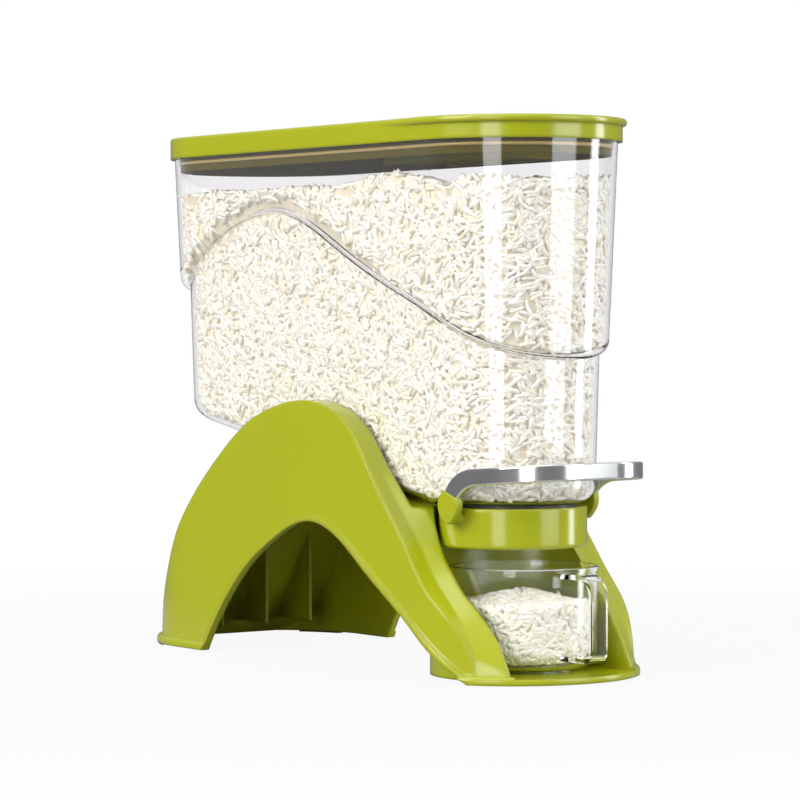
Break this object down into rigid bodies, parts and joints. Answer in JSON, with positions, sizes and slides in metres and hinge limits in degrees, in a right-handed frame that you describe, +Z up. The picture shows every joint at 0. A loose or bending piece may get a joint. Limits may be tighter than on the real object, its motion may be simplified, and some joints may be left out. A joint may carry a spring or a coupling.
{
  "type": "rice dispenser",
  "caption": "Countertop dry-food dispenser: clear long hopper with wave-stepped walls on an arched green stand, spring lever gate over a clear measuring cup, lift-off lid.",
  "frame": {"origin": "centre of the footprint's bounding box, on the floor plane under the rubber feet", "axes": "+X to the pouring front, +Y to the far long side, +Z up"},
  "size_m": [0.4269, 0.1572, 0.343],
  "materials": {
    "green_plastic": "gloss moulded",
    "green_dark": "gloss moulded, shaded olive",
    "clear_plastic": "clear polished",
    "chrome": "polished",
    "steel": "plain",
    "white_plastic": "satin",
    "seal_silicone": "satin translucent tan",
    "dark_rubber": "matt",
    "pouch": "non-woven"
  },
  "bodies": {
    "stand": {"stand_shell": "green_plastic", "foot_pad_rear_far": "dark_rubber", "foot_pad_rear_near": "dark_rubber", "foot_pad_front_far": "dark_rubber", "foot_pad_front_near": "dark_rubber", "seat_pad_rear": "dark_rubber", "seat_pad_front": "dark_rubber"},
    "hopper": {"hopper_body": "clear_plastic", "outlet_collar": "green_plastic", "outlet_plate": "green_dark", "plate_screws": "steel", "outlet_funnel": "white_plastic", "neck_seal": "dark_rubber", "return_spring": "steel"},
    "lever": {"lever_bail": "chrome", "lever_lug_near": "green_plastic", "lever_lug_far": "green_plastic", "lever_shaft_near": "steel", "lever_shaft_far": "steel", "gate_crank_near": "white_plastic", "gate_crank_far": "white_plastic", "bail_rivets": "chrome"},
    "gate": {"outlet_gate": "white_plastic"},
    "lid": {"lid_shell": "green_plastic", "lid_plug": "green_dark", "lid_gasket": "seal_silicone", "drier_box": "green_plastic", "drier_sachet": "pouch"},
    "drier_slide": {"drier_cover": "green_plastic"},
    "cup": {"measuring_cup": "clear_plastic"}
  },
  "joints": [
    {"name": "hopper_lift", "type": "slide", "parent": "stand", "child": "hopper", "axis": [0, 0, 1], "range_m": [0, 0.1]},
    {"name": "lid_lift", "type": "slide", "parent": "hopper", "child": "lid", "axis": [0, 0, 1], "range_m": [0, 0.04]},
    {"name": "drier_cover_slide", "type": "slide", "parent": "lid", "child": "drier_slide", "axis": [-1, 0, 0], "range_m": [0, 0.128]},
    {"name": "lever_press", "type": "hinge", "parent": "hopper", "child": "lever", "pos_m": [0.134, 0, 0.0993], "axis": [0, 1, 0], "range_deg": [0, 30], "stiffness_Nm_per_rad": 0.25, "springref_deg": -22.92},
    {"name": "gate_slide", "type": "slide", "parent": "hopper", "child": "gate", "axis": [1, 0, 0], "range_m": [-0.007, 0]},
    {"name": "cup_out", "type": "slide", "parent": "stand", "child": "cup", "axis": [1, 0, 0], "range_m": [0, 0.14]}
  ],
  "couplings": [
    {"joint": "gate_slide", "follows": "lever_press", "m_per_rad": -0.013346}
  ]
}
